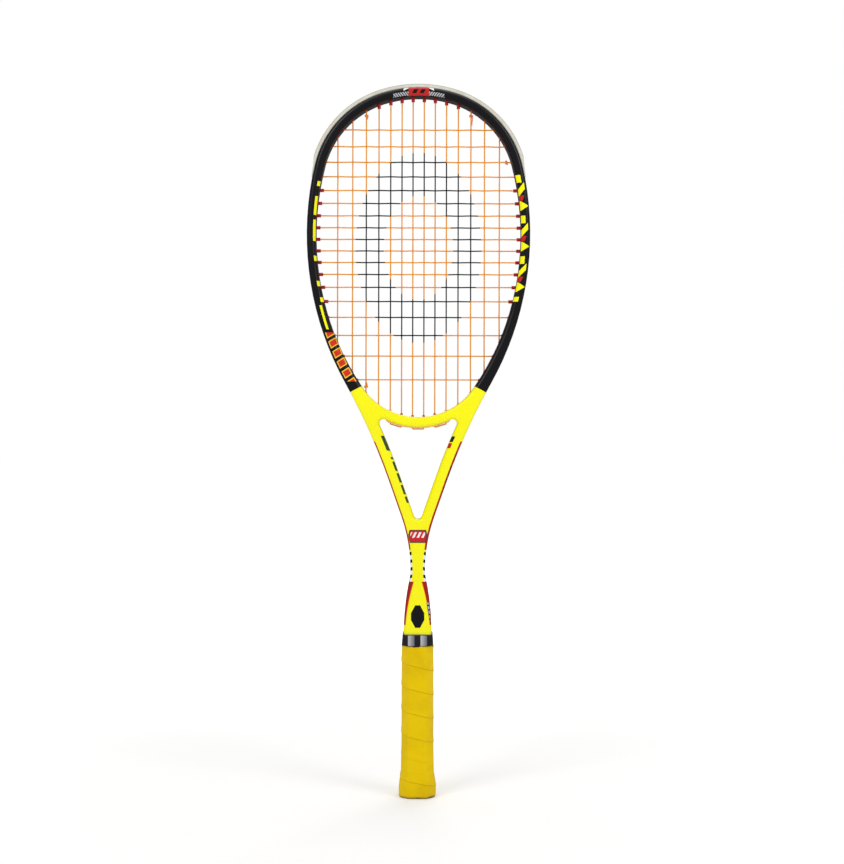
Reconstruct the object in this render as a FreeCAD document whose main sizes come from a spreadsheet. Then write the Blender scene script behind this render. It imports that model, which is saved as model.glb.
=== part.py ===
import FreeCAD, Part
import math
import os

import Sketcher
from FreeCAD import Vector

# Squash racket, standing on its butt.  Millimetres.
# +X is the racket's width, +Z runs from butt to head, Y is the beam depth.
# The origin is the centre of the butt's end face.

doc = FreeCAD.newDocument("squash_racket")
sheet = doc.addObject("Spreadsheet::Sheet", "sizes")

SIZES = [
    # outer edge of the moulded frame, walked clockwise from the crown
    ("frame_top", 682.9), ("beam_depth", 20), ("edge_round", 4.2),
    ("crown_radius", 119), ("crown_turn", 18.2),
    ("shoulder_radius", 95), ("shoulder_turn", 58.8),
    ("side_radius", 295), ("side_turn", 42.15),
    ("arm_radius", 600), ("arm_turn", 9.8), ("arm_straight", 37),
    ("waist_radius", 156), ("waist_turn", 19.35),
    ("flare_in_radius", 45), ("flare_out_radius", 250), ("flare_turn", 12),
    ("frame_foot", 150),
    # opening of the string bed, walked clockwise from its top
    ("bed_top", 674.2), ("bed_crown_radius", 115.4), ("bed_crown_turn", 13.5),
    ("bed_shoulder_radius", 86.3), ("bed_shoulder_turn", 61.9),
    ("bed_side_radius", 267), ("bed_side_turn", 30.9),
    ("bed_lower_radius", 252.5), ("bed_lower_turn", 18.5),
    # throat: the arms, the V between them and the bridge above it
    ("arm_width", 11.5), ("crotch_radius", 4), ("corner_radius", 4),
    ("bridge_low", 355.8), ("bridge_low_radius", 72), ("yoke_margin", 12.4),
    # depth of the shaft where it swells towards the handle
    ("shaft_depth", 24), ("swell_top", 235), ("swell_bottom", 165),
    # string groove and holes in the hoop
    ("groove_width", 5), ("groove_depth", 3), ("groove_end", 360),
    ("hole_width", 2.7), ("wide_hole", 3.4), ("hole_lean", 20), ("steep_lean", 5), ("steep_limit", 45),
    ("junction_lean", 50),
    # strings
    ("string_width", 1.25), ("string_rise", 0.65), ("string_sink", 0.9),
    ("main_first", 5.4), ("main_pitch", 10.6), ("main_spread", 0.042),
    ("cross_middle", 526), ("cross_pitch", 11.1), ("cross_spread_up", 0.0233),
    ("cross_spread_down", 0.0697), ("bend_margin", 1), ("string_bend", 0.9),
    # grommets and head guard
    ("barrel_width", 2.6), ("wide_barrel", 3.3), ("barrel_bore", 1.5), ("barrel_long", 4),
    ("barrel_short", 0.6), ("strip_width", 4.6), ("strip_thick", 0.8),
    ("throat_strip_width", 7), ("throat_strip_thick", 1.1), ("throat_loop_gap", 0.95),
    ("throat_strip_half", 31), ("knot_ring", 1.65), ("knot_cord", 0.95), ("knot_back", 4),
    ("guard_proud", 3.1), ("guard_width", 15), ("guard_end", 597),
    ("guard_taper", 20),
    # handle
    ("shank_width", 19), ("shank_depth", 16), ("shank_foot", 12),
    ("pallet_width", 26.8), ("pallet_depth", 23.4), ("pallet_foot", 8),
    ("bevel", 0.5), ("grip_width", 30.6), ("grip_depth", 27.2),
    ("butt_width", 36), ("butt_depth", 32.4), ("cap_height", 22),
    ("badge_width", 19), ("badge_thick", 1.2),
    ("tape_foot", 144.9), ("tape_top", 157.1), ("tape_width", 30.5),
    ("tape_top_width", 28),
]

for row, (alias, value) in enumerate(SIZES, start=1):
    sheet.set("A%d" % row, alias)
    sheet.set("B%d" % row, str(value))
    sheet.setAlias("B%d" % row, alias)
doc.recompute()


def size(alias):
    return float(sheet.get(alias))


# ---------------------------------------------------------------- outlines

class Outline:
    """A run of tangent arcs and lines in the XZ plane.

    heading is the way of travel, in radians clockwise from +X.  Each step is
    (sense, radius, turn): sense 1 turns clockwise, -1 anticlockwise, and 0 is
    a line whose length stands in the place of the radius.
    """

    def __init__(self, x, z, heading, steps):
        self.pieces = []
        for sense, reach, turn in steps:
            piece = {"sense": sense, "reach": reach, "from": (x, z), "heading": heading}
            if sense == 0:
                x += reach * math.cos(heading)
                z -= reach * math.sin(heading)
            else:
                centre_x = x - sense * reach * math.sin(heading)
                centre_z = z - sense * reach * math.cos(heading)
                middle = heading + sense * turn / 2
                heading += sense * turn
                piece["centre"] = (centre_x, centre_z)
                piece["middle"] = (centre_x + sense * reach * math.sin(middle),
                                   centre_z + sense * reach * math.cos(middle))
                x = centre_x + sense * reach * math.sin(heading)
                z = centre_z + sense * reach * math.cos(heading)
            piece["to"] = (x, z)
            piece["leaves"] = heading
            self.pieces.append(piece)
        self.end = (x, z)
        self.leaves = heading

    def moved_in(self, distance):
        """The parallel outline, distance to the right of the way of travel."""
        first = self.pieces[0]
        x = first["from"][0] - distance * math.sin(first["heading"])
        z = first["from"][1] - distance * math.cos(first["heading"])
        steps = [(p["sense"], p["reach"] - p["sense"] * distance, abs(p["leaves"] - p["heading"]))
                 for p in self.pieces]
        return Outline(x, z, first["heading"], steps)

    def edges(self):
        made = []
        for p in self.pieces:
            if p["sense"] == 0:
                made.append(Part.makeLine(at(*p["from"]), at(*p["to"])))
            else:
                made.append(Part.Arc(at(*p["from"]), at(*p["middle"]), at(*p["to"])).toShape())
        return made

    def meet(self, x, z, dx, dz):
        """Nearest point ahead of (x, z) along (dx, dz), with the heading there."""
        found = None
        for p in self.pieces:
            if p["sense"] == 0:
                continue
            cx, cz = p["centre"]
            along = (cx - x) * dx + (cz - z) * dz
            off = (cx - x) ** 2 + (cz - z) ** 2 - along ** 2
            room = p["reach"] ** 2 - off
            if room < 0:
                continue
            for reach in (along - math.sqrt(room), along + math.sqrt(room)):
                px, pz = x + reach * dx, z + reach * dz
                heading = math.atan2(p["sense"] * (px - cx), p["sense"] * (pz - cz))
                low, high = sorted((p["heading"], p["leaves"]))
                if heading < low - 1e-6:
                    heading += 2 * math.pi
                if reach > 1e-6 and low - 1e-6 <= heading <= high + 1e-6:
                    if found is None or reach < found[0]:
                        found = (reach, px, pz, heading)
        return found[1], found[2], found[3]


def at(x, z, y=0):
    return Vector(x, y, z)


def radians(alias):
    return math.radians(size(alias))


outer = Outline(0, size("frame_top"), 0, [
    (1, size("crown_radius"), radians("crown_turn")),
    (1, size("shoulder_radius"), radians("shoulder_turn")),
    (1, size("side_radius"), radians("side_turn")),
    (-1, size("arm_radius"), radians("arm_turn")),
    (0, size("arm_straight"), 0),
    (-1, size("waist_radius"), radians("waist_turn")),
    (-1, size("flare_in_radius"), radians("flare_turn")),
    (1, size("flare_out_radius"), radians("flare_turn")),
])

bed_sides = Outline(0, size("bed_top"), 0, [
    (1, size("bed_crown_radius"), radians("bed_crown_turn")),
    (1, size("bed_shoulder_radius"), radians("bed_shoulder_turn")),
    (1, size("bed_side_radius"), radians("bed_side_turn")),
    (1, size("bed_lower_radius"), radians("bed_lower_turn")),
])
bridge_top_radius = bed_sides.end[0] / math.sin(math.pi - bed_sides.leaves)
bed = Outline(0, size("bed_top"), 0,
              [(1, p["reach"], p["leaves"] - p["heading"]) for p in bed_sides.pieces]
              + [(1, bridge_top_radius, math.pi - bed_sides.leaves)])


def circles_meet(c1, r1, c2, r2):
    """The crossing of two circles that lies to the right and lower."""
    dx, dz = c2[0] - c1[0], c2[1] - c1[1]
    apart = math.hypot(dx, dz)
    along = (r1 ** 2 - r2 ** 2 + apart ** 2) / (2 * apart)
    side = math.sqrt(r1 ** 2 - along ** 2)
    base = (c1[0] + along * dx / apart, c1[1] + along * dz / apart)
    both = [(base[0] + k * side * dz / apart, base[1] - k * side * dx / apart) for k in (1, -1)]
    return max((p for p in both if p[1] < size("bridge_low") + 20), key=lambda p: p[1])


# The V's edge runs parallel to the arm's outer edge.  Its top corner is a
# circle that touches both the arm and the underside of the bridge.
arm_arc = outer.pieces[3]
arm_line = outer.pieces[4]
bridge_centre = (0, size("bridge_low") + size("bridge_low_radius"))
corner = circles_meet(bridge_centre, size("bridge_low_radius") + size("corner_radius"),
                      arm_arc["centre"],
                      arm_arc["reach"] + size("arm_width") + size("corner_radius"))


# ---------------------------------------------------------------- sketches

def plane(body, role):
    for feature in body.Origin.OriginFeatures:
        if feature.Role == role:
            return feature
    raise ValueError(role)


def new_sketch(body, name, role):
    sketch = body.newObject("Sketcher::SketchObject", name)
    sketch.AttachmentSupport = [(plane(body, role), "")]
    sketch.MapMode = "FlatFace"
    return sketch


def bind(sketch, constraint, expression):
    index = sketch.addConstraint(constraint)
    sketch.setExpression("Constraints[%d]" % index, expression)


AXIS_Y = -2
START, END, CENTRE = 1, 2, 3


def draw_outline(sketch, outline, reaches, turns):
    """Draws the outline's pieces and returns their (geometry, first, last)."""
    drawn = []
    for p, reach, turn in zip(outline.pieces, reaches, turns):
        if p["sense"] == 0:
            line = Part.LineSegment(Vector(*p["from"], 0), Vector(*p["to"], 0))
            piece = (sketch.addGeometry(line), START, END)
            if reach:
                bind(sketch, Sketcher.Constraint("Distance", piece[0], p["reach"]), reach)
        else:
            circle = Part.Circle(Vector(*p["centre"], 0), Vector(0, 0, 1), p["reach"])
            ends = [math.atan2(q[1] - p["centre"][1], q[0] - p["centre"][0])
                    for q in (p["from"], p["to"])]
            if p["sense"] > 0:
                ends.reverse()
            if ends[1] < ends[0]:
                ends[1] += 2 * math.pi
            index = sketch.addGeometry(Part.ArcOfCircle(circle, *ends))
            piece = (index, END, START) if p["sense"] > 0 else (index, START, END)
            if reach:
                bind(sketch, Sketcher.Constraint("Radius", index, p["reach"]), reach)
            if turn:
                span = abs(p["leaves"] - p["heading"])
                bind(sketch, Sketcher.Constraint("Angle", index, span), turn)
        if drawn:
            before = drawn[-1]
            sketch.addConstraint(Sketcher.Constraint("Tangent", before[0], before[2],
                                                     piece[0], piece[1]))
        drawn.append(piece)
    return drawn


def start_on_axis(sketch, drawn, height=None):
    first = drawn[0]
    sketch.addConstraint(Sketcher.Constraint("PointOnObject", first[0], first[1], AXIS_Y))
    sketch.addConstraint(Sketcher.Constraint("PointOnObject", first[0], CENTRE, AXIS_Y))
    if height is None:
        return
    bind(sketch, Sketcher.Constraint("DistanceY", -1, 1, first[0], first[1], size(height)),
         "sizes.%s" % height)


def close_on_axis(sketch, drawn, points):
    """Joins the last piece back to the first with lines through the points."""
    before = (drawn[-1][0], drawn[-1][2])
    path = points + [None]
    here = sketch.getPoint(*before)
    for point in path:
        goal = point or sketch.getPoint(drawn[0][0], drawn[0][1])
        goal = Vector(goal[0], goal[1], 0)
        line = sketch.addGeometry(Part.LineSegment(here, goal))
        sketch.addConstraint(Sketcher.Constraint("Coincident", before[0], before[1], line, START))
        if abs(here.x - goal.x) < 1e-3:
            if point:
                sketch.addConstraint(Sketcher.Constraint("Vertical", line))
        else:
            sketch.addConstraint(Sketcher.Constraint("Horizontal", line))
        before = (line, END)
        here = goal
    sketch.addConstraint(Sketcher.Constraint("Coincident", before[0], before[1],
                                             drawn[0][0], drawn[0][1]))


def both_ways(body, kind, sketch, name, length):
    """A pad or pocket that reaches evenly to both sides of its sketch."""
    feature = body.newObject(kind, name)
    feature.Profile = sketch
    feature.setExpression("Length", length)
    feature.SideType = "Symmetric"
    return feature


# ------------------------------------------------------------------- frame

blank = doc.addObject("PartDesign::Body", "frame_blank")

plan = new_sketch(blank, "frame_plan", "XZ_Plane")
names = ["crown", "shoulder", "side", "arm"]
drawn = draw_outline(
    plan, outer,
    ["sizes.%s_radius" % n for n in names]
    + ["sizes.arm_straight", "sizes.waist_radius", "sizes.flare_in_radius",
       "sizes.flare_out_radius"],
    ["sizes.%s_turn" % n for n in names]
    + [None, "sizes.waist_turn", "sizes.flare_turn", "sizes.flare_turn"])
start_on_axis(plan, drawn, "frame_top")
foot = size("frame_foot")
close_on_axis(plan, drawn, [(outer.end[0], foot), (0, foot)])
last_line = plan.GeometryCount - 1
bind(plan, Sketcher.Constraint("DistanceY", -1, 1, last_line, START, foot), "sizes.frame_foot")
both_ways(blank, "PartDesign::Pad", plan, "frame_half", "sizes.shaft_depth")


opening = new_sketch(blank, "bed_opening", "XZ_Plane")
names = ["crown", "shoulder", "side", "lower"]
drawn = draw_outline(opening, bed,
                     ["sizes.bed_%s_radius" % n for n in names] + [None],
                     ["sizes.bed_%s_turn" % n for n in names] + [None])
start_on_axis(opening, drawn, "bed_top")
opening.addConstraint(Sketcher.Constraint("PointOnObject", drawn[-1][0], CENTRE, AXIS_Y))
close_on_axis(opening, drawn, [])
opening.addConstraint(Sketcher.Constraint("PointOnObject", drawn[-1][0], drawn[-1][2], AXIS_Y))
both_ways(blank, "PartDesign::Pocket", opening, "bed_cut", "sizes.shaft_depth + 2")

# The V: crotch round, arm edge, corner round, underside of the bridge.
inset = size("arm_width")
arm_in = Outline(*arm_arc["from"], arm_arc["heading"],
                 [(-1, arm_arc["reach"], radians("arm_turn")), (0, arm_line["reach"], 0)]
                 ).moved_in(inset)
tilt = arm_in.leaves
crotch = size("crotch_radius")
foot_x, foot_z = arm_in.pieces[1]["from"]
# The round sits where its distance from the straight edge is its own radius.
crotch_z = foot_z - (foot_x - crotch / math.sin(tilt)) * math.tan(math.pi - tilt)
touch = (crotch * math.sin(tilt), crotch_z + crotch * math.cos(tilt))
arc = arm_in.pieces[0]
cx, cz = arc["centre"]
reach = math.hypot(corner[0] - cx, corner[1] - cz)
corner_in = (cx + (corner[0] - cx) * arc["reach"] / reach,
             cz + (corner[1] - cz) * arc["reach"] / reach)
corner_heading = math.atan2(cx - corner_in[0], cz - corner_in[1]) % (2 * math.pi)
bridge_lean = math.asin(corner[0] / math.dist(corner, bridge_centre))
v_edge = Outline(0, crotch_z - crotch, 0, [
    (-1, crotch, math.pi - tilt),
    (0, math.dist(touch, (foot_x, foot_z)), 0),
    (1, arc["reach"], corner_heading - tilt),
    (-1, size("corner_radius"), corner_heading + bridge_lean),
    (1, size("bridge_low_radius"), bridge_lean),
])
v_plan = new_sketch(blank, "throat_opening", "XZ_Plane")
drawn = draw_outline(v_plan, v_edge,
                     ["sizes.crotch_radius", None, "sizes.arm_radius + sizes.arm_width",
                      "sizes.corner_radius", "sizes.bridge_low_radius"],
                     [None] * 5)
start_on_axis(v_plan, drawn)
v_plan.addConstraint(Sketcher.Constraint("PointOnObject", drawn[-1][0], CENTRE, AXIS_Y))
close_on_axis(v_plan, drawn, [])
bind(v_plan, Sketcher.Constraint("DistanceY", -1, 1, drawn[-1][0], drawn[-1][2],
                                 size("bridge_low")), "sizes.bridge_low")
both_ways(blank, "PartDesign::Pocket", v_plan, "throat_cut", "sizes.shaft_depth + 2")

whole = blank.newObject("PartDesign::Mirrored", "frame_whole")
whole.Originals = [blank.getObject(n) for n in ("frame_half", "bed_cut", "throat_cut")]
whole.MirrorPlane = (plane(blank, "YZ_Plane"), [""])
blank.Tip = whole

# Seen from the side the beam is straight and swells below the waist.
side = doc.addObject("PartDesign::Body", "beam_side")
profile = new_sketch(side, "beam_profile", "YZ_Plane")
half = size("beam_depth") / 2
deep = size("shaft_depth") / 2
swell_length = size("swell_top") - size("swell_bottom")
swell_turn = 2 * math.atan2(deep - half, swell_length)
swell_radius = swell_length / 2 / math.sin(swell_turn)
clear = 10
beam_edge = Outline(half, size("frame_top") + clear, math.pi / 2, [
    (0, size("frame_top") + clear - size("swell_top"), 0),
    (-1, swell_radius, swell_turn),
    (1, swell_radius, swell_turn),
    (0, size("swell_bottom") - size("frame_foot") + clear, 0),
])
drawn = draw_outline(profile, beam_edge, [None] * 4, [None] * 4)
profile.addConstraint(Sketcher.Constraint("Vertical", drawn[0][0]))
profile.addConstraint(Sketcher.Constraint("Vertical", drawn[3][0]))
profile.addConstraint(Sketcher.Constraint("Equal", drawn[1][0], drawn[2][0]))
bind(profile, Sketcher.Constraint("DistanceX", -1, 1, drawn[0][0], START, half),
     "sizes.beam_depth / 2")
bind(profile, Sketcher.Constraint("DistanceX", -1, 1, drawn[3][0], START, deep),
     "sizes.shaft_depth / 2")
bind(profile, Sketcher.Constraint("DistanceY", -1, 1, drawn[0][0], END, size("swell_top")),
     "sizes.swell_top")
bind(profile, Sketcher.Constraint("DistanceY", -1, 1, drawn[3][0], START, size("swell_bottom")),
     "sizes.swell_bottom")
bottom = beam_edge.end[1]
close_on_axis(profile, drawn, [(0, bottom), (0, size("frame_top") + clear)])
both_ways(side, "PartDesign::Pad", profile, "beam_half", "sizes.side_radius")
mirror = side.newObject("PartDesign::Mirrored", "beam_whole")
mirror.Originals = [side.getObject("beam_half")]
mirror.MirrorPlane = (plane(side, "XZ_Plane"), [""])
side.Tip = mirror


def operate(kind, name, base, tool):
    made = doc.addObject("Part::%s" % kind, name)
    made.Base = base
    made.Tool = tool
    return made


beam = operate("Common", "frame_beam", blank, side)
doc.recompute()


def face_edges(shape):
    """The long edges of the front and back faces, which are rounded over."""
    chosen = []
    for number, edge in enumerate(shape.Edges, start=1):
        middle = edge.valueAt((edge.FirstParameter + edge.LastParameter) / 2)
        ends = [v.Point for v in edge.Vertexes]
        level = abs(ends[0].z - ends[-1].z) < 1e-6 and abs(middle.z - ends[0].z) < 1e-6
        same_side = all(p.y * middle.y > 0 and abs(p.y) > half - 0.01 for p in ends)
        if same_side and not level:
            chosen.append(number)
    return chosen


rounded = doc.addObject("Part::Fillet", "frame_rounded")
rounded.Base = beam
rounded.Edges = [(n, size("edge_round"), size("edge_round")) for n in face_edges(beam.Shape)]


# ----------------------------------------------------------- string layout

MAINS, CROSSES = 7, 18
rim = outer.moved_in(size("string_sink"))
string = size("string_width") / 2
rise = size("string_rise")


def main_x(step):
    return size("main_first") + size("main_pitch") * step + size("main_spread") * step ** 3


def cross_z(row):
    step = row - CROSSES // 2
    spread = size("cross_spread_down") if step > 0 else size("cross_spread_up")
    return size("cross_middle") - size("cross_pitch") * step - spread * step ** 3


def hole(x, z, dx, dz, way=None, low=False):
    """One hole of the hoop's right half: where its string bends, and its way out.

    The hole keeps the string's line unless that would run too slantwise
    through the tube.  low is for the bridge, which has no groove.
    """
    px, pz, heading = bed.meet(x, z, dx, dz)
    normal = math.atan2(math.cos(heading), math.sin(heading))
    if way is None:
        lean = math.atan2(dz, dx) - normal
        most = radians("steep_lean") if abs(lean) > radians("steep_limit") else radians("hole_lean")
        way = normal + max(-most, min(most, lean))
    margin = size("bend_margin")
    bend = (px - margin * dx, pz - margin * dz)
    wx, wz = math.cos(way), math.sin(way)
    if low:
        reach = size("bridge_low_radius") + size("throat_strip_thick") + size("throat_loop_gap")
        leave = (bend[0], bridge_centre[1] - math.sqrt(reach ** 2 - bend[0] ** 2))
    else:
        leave = rim.meet(bend[0], bend[1], wx, wz)[:2]
    return {"bend": bend, "way": (wx, wz), "leave": leave, "mouth": (px, pz)}


def flipped(h):
    """The same hole on the left half."""
    turned = {key: (-value[0], value[1]) for key, value in h.items()}
    return turned


top_holes, low_holes, side_holes = [], [], []
for step in range(MAINS):
    x = main_x(step)
    top_holes.append(hole(x, size("cross_middle"), 0, 1))
    junction = -math.pi / 2 + radians("junction_lean") if step == 3 else None
    low_holes.append(hole(x, size("cross_middle"), 0, -1, way=junction, low=step < 3))
for row in range(CROSSES):
    side_holes.append(hole(0, cross_z(row), 1, 0))


def rod(start, way, width, length, back=0):
    """A round bar in the XZ plane, from back behind the start."""
    base = at(start[0] - back * way[0], start[1] - back * way[1])
    return Part.makeCylinder(width / 2, length + back, base, at(*way))


def both_halves(shape):
    return [shape, shape.mirror(Vector(), Vector(1, 0, 0))]


def between(first, second):
    """Unit way and distance from one point to another."""
    apart = math.dist(first, second)
    return ((second[0] - first[0]) / apart, (second[1] - first[1]) / apart), apart


def feature(name, shape):
    made = doc.addObject("Part::Feature", name)
    made.Shape = shape
    made.Placement = FreeCAD.Placement()
    return made


# ------------------------------------------------- bands that follow the hoop

def band(outline, near, far, width):
    """Both halves of a strip between two outlines parallel to this one."""
    a, b = outline.moved_in(near), outline.moved_in(far)
    ends = [Part.makeLine(at(*a.end), at(*b.end)),
            Part.makeLine(at(*a.pieces[0]["from"]), at(*b.pieces[0]["from"]))]
    wire = Part.Wire(Part.__sortEdges__(a.edges() + b.edges() + ends))
    half_band = Part.Face(wire).extrude(Vector(0, width, 0))
    half_band.translate(Vector(0, -width / 2, 0))
    halves = both_halves(half_band)
    return halves[0].fuse(halves[1]).removeSplitter()


def window(x_low, x_high, z_low, z_high):
    deep_enough = size("shaft_depth") * 2
    block = Part.makeBox(x_high - x_low, deep_enough, z_high - z_low)
    block.translate(Vector(x_low, -deep_enough / 2, z_low))
    return block


hoop_edge = Outline(0, size("frame_top"), 0,
                    [(p["sense"], p["reach"], abs(p["leaves"] - p["heading"]))
                     for p in outer.pieces[:4]])
wide, tall = 200, 800
above_groove_end = window(-wide, wide, size("groove_end"), tall)
groove = band(hoop_edge, -1, size("groove_depth"), size("groove_width")).common(above_groove_end)
crown_holes, flank_holes = top_holes[:4], side_holes[4:14]
drills = []
for h in top_holes + low_holes + side_holes:
    way, reach = between(h["bend"], h["leave"])
    wide_here = h in crown_holes or h in flank_holes
    width = size("wide_hole") if wide_here else size("hole_width")
    drills += both_halves(rod(h["bend"], h["way"], width, reach + size("string_sink") + 1))
drilling = feature("groove_and_holes", Part.makeCompound([groove] + drills))

# The bridge is a separate moulding bonded between the arms.
core_edge = hoop_edge.moved_in(size("yoke_margin"))
core_side = core_edge.edges()[2:]
core_top, core_foot = core_side[0].Vertexes[0].Point, core_side[-1].Vertexes[-1].Point
outline_edges = core_side + [Part.makeLine(core_foot, at(0, core_foot.z)),
                             Part.makeLine(at(0, core_foot.z), at(0, core_top.z)),
                             Part.makeLine(at(0, core_top.z), core_top)]
core_half = Part.Face(Part.Wire(Part.__sortEdges__(outline_edges))).extrude(
    Vector(0, 2 * size("shaft_depth"), 0))
core_half.translate(Vector(0, -size("shaft_depth"), 0))
core_halves = both_halves(core_half)
core_block = core_halves[0].fuse(core_halves[1]).removeSplitter()
core_block = core_block.common(window(-wide, wide, size("bridge_low") - 30,
                                      size("bridge_low") + 60))
core = feature("yoke_region", core_block)

# The two legs of the frame run on as a slimmer shank inside the handle.
shank = doc.addObject("Part::Box", "shank")
shank.setExpression("Length", "sizes.shank_width")
shank.setExpression("Width", "sizes.shank_depth")
shank.setExpression("Height", "sizes.frame_foot - sizes.shank_foot")
shank.Placement.Base = Vector(-size("shank_width") / 2, -size("shank_depth") / 2,
                              size("shank_foot"))

legs = operate("Cut", "frame_without_yoke", rounded, core)
joined = operate("Fuse", "frame_with_shank", legs, shank)
hairpin = operate("Cut", "hairpin", joined, drilling)
bridge = operate("Common", "yoke_blank", rounded, core)
yoke = operate("Cut", "yoke", bridge, drilling)


# ---------------------------------------------------------------- grommets

def barrels(holes, inside, low=False):
    """Tubes through the hoop from the strip to a little way into the opening."""
    floor = size("groove_depth") - size("strip_thick")
    tubes, bores = [], []
    for h, stick_in in zip(holes, inside):
        way, reach = between(h["mouth"], h["leave"])
        sink = floor - size("string_sink") if not low else size("throat_loop_gap")
        width = size("wide_barrel") if stick_in == size("barrel_long") else size("barrel_width")
        tubes.append(rod(h["mouth"], h["way"], width, reach - sink, stick_in))
        bores.append(rod(h["mouth"], h["way"], size("barrel_bore"), reach + 3, stick_in + 3))
    return tubes, bores


def grommet_strip(name, base, tubes, bores):
    body = base.multiFuse(tubes)
    return feature(name, body.cut(Part.makeCompound(bores)))


strip_ring = band(hoop_edge, size("groove_depth") - size("strip_thick"),
                  size("groove_depth"), size("strip_width"))
seam_top = (main_x(3) + main_x(4)) / 2
seam_high = (cross_z(3) + cross_z(4)) / 2
seam_low = (cross_z(13) + cross_z(14)) / 2
seam_foot = (low_holes[4]["leave"][1] + side_holes[17]["leave"][1]) / 2
long_one, short_one = size("barrel_long"), size("barrel_short")

tubes, bores = barrels(crown_holes, [long_one] * 4)
tubes = [t for tube in tubes for t in both_halves(tube)]
bores = [b for bore in bores for b in both_halves(bore)]
strips = [grommet_strip("grommet_strip_top",
                        strip_ring.common(window(-seam_top, seam_top, 600, tall)), tubes, bores)]

SIDE_STRIPS = [
    ("shoulder", window(seam_top + 0.3, wide, seam_high, tall),
     top_holes[4:] + side_holes[:4], [short_one] * 7),
    ("side", window(0, wide, seam_low, seam_high - 0.3), flank_holes, [long_one] * 10),
    ("lower", window(0, wide, seam_foot, seam_low - 0.3),
     side_holes[14:] + low_holes[5:], [short_one] * 6),
    ("junction", window(0, wide, size("groove_end") + 1, seam_foot - 0.3),
     low_holes[3:5], [short_one] * 2),
]
for part_name, region, holes, inside in SIDE_STRIPS:
    base = strip_ring.common(region)
    tubes, bores = barrels(holes, inside)
    right = base.multiFuse(tubes).cut(Part.makeCompound(bores))
    strips.append(feature("grommet_strip_%s_right" % part_name, right))
    strips.append(feature("grommet_strip_%s_left" % part_name,
                          right.mirror(Vector(), Vector(1, 0, 0))))

low_reach = size("bridge_low_radius")
throat_ring = Part.makeCylinder(low_reach + size("throat_strip_thick"), size("throat_strip_width"),
                                at(*bridge_centre), Vector(0, 1, 0))
throat_ring = throat_ring.cut(Part.makeCylinder(low_reach, size("throat_strip_width"),
                                                at(*bridge_centre), Vector(0, 1, 0)))
throat_ring.translate(Vector(0, -size("throat_strip_width") / 2, 0))
throat_half = size("throat_strip_half")
throat_ring = throat_ring.common(window(-throat_half, throat_half, 300, bridge_centre[1] - 20))
tubes, bores = barrels(low_holes[:3], [1.5] * 3, low=True)
tubes = [t for tube in tubes for t in both_halves(tube)]
bores = [b for bore in bores for b in both_halves(bore)]
strips.append(grommet_strip("grommet_strip_throat", throat_ring, tubes, bores))

# The guard hugs the rounded crown and thins out to nothing at its two ends.
guard_ring = band(hoop_edge, -size("guard_proud"), size("edge_round"), size("guard_width"))
guard_ring = guard_ring.common(window(-wide, wide, size("guard_end"), tall))
skim = hoop_edge.moved_in(-size("guard_proud"))
end_x = hoop_edge.meet(0, size("guard_end"), 1, 0)[0]
taper_x, taper_z = skim.meet(0, size("guard_end") + size("guard_taper"), 1, 0)[:2]
wedge = Part.makePolygon([at(end_x + 0.6, size("guard_end")), at(taper_x, taper_z),
                          at(taper_x + 9, taper_z), at(taper_x + 9, size("guard_end")),
                          at(end_x + 0.6, size("guard_end"))])
wedge_block = Part.Face(wedge).extrude(Vector(0, 40, 0))
wedge_block.translate(Vector(0, -20, 0))
guard_shape = guard_ring.cut(Part.makeCompound(both_halves(wedge_block)))
guard_blank = feature("guard_blank", guard_shape)
solid_groove = band(hoop_edge, 0, size("groove_depth") + 2, size("groove_width"))
guard_tool = feature("guard_tool", solid_groove.fuse(window(-wide, wide, 0, 1)))
guard_without_hoop = operate("Cut", "guard_without_hoop", guard_blank, rounded)
guard = operate("Cut", "guard", guard_without_hoop, guard_tool)

# ----------------------------------------------------------------- strings


def woven(knots, place):
    """Edges of a wave through (position, height) knots, level at every knot."""
    edges = []
    for (p, a), (q, b) in zip(knots, knots[1:]):
        if abs(a - b) < 1e-9:
            edges.append(Part.makeLine(place(p, a), place(q, b)))
            continue
        length, climb = abs(q - p), abs(b - a)
        radius = (length ** 2 + climb ** 2) / (4 * climb)
        turn = math.asin(length / 2 / radius)
        way, lift = (q - p) / length, (b - a) / climb
        middle = ((p + q) / 2, (a + b) / 2)
        first = (p + way * radius * math.sin(turn / 2),
                 a + lift * radius * (1 - math.cos(turn / 2)))
        last = (q - way * radius * math.sin(turn / 2),
                b - lift * radius * (1 - math.cos(turn / 2)))
        edges.append(Part.Arc(place(p, a), place(*first), place(*middle)).toShape())
        edges.append(Part.Arc(place(*middle), place(*last), place(q, b)).toShape())
    return edges


def rounded_corner(before, point, after):
    """Where a bend of the string starts and ends, and its arc (none if straight)."""
    u, v = between(before, point)[0], between(point, after)[0]
    turn = math.acos(max(-1, min(1, u[0] * v[0] + u[1] * v[1])))
    if turn < 1e-3:
        return point, None, point
    radius = size("string_bend")
    reach = radius * math.tan(turn / 2)
    start = (point[0] - reach * u[0], point[1] - reach * u[1])
    end = (point[0] + reach * v[0], point[1] + reach * v[1])
    inward = between((0, 0), (v[0] - u[0], v[1] - u[1]))[0]
    sag = radius / math.cos(turn / 2) - radius
    middle = (point[0] + sag * inward[0], point[1] + sag * inward[1])
    return start, Part.Arc(at(*start), at(*middle), at(*end)).toShape(), end


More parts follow.
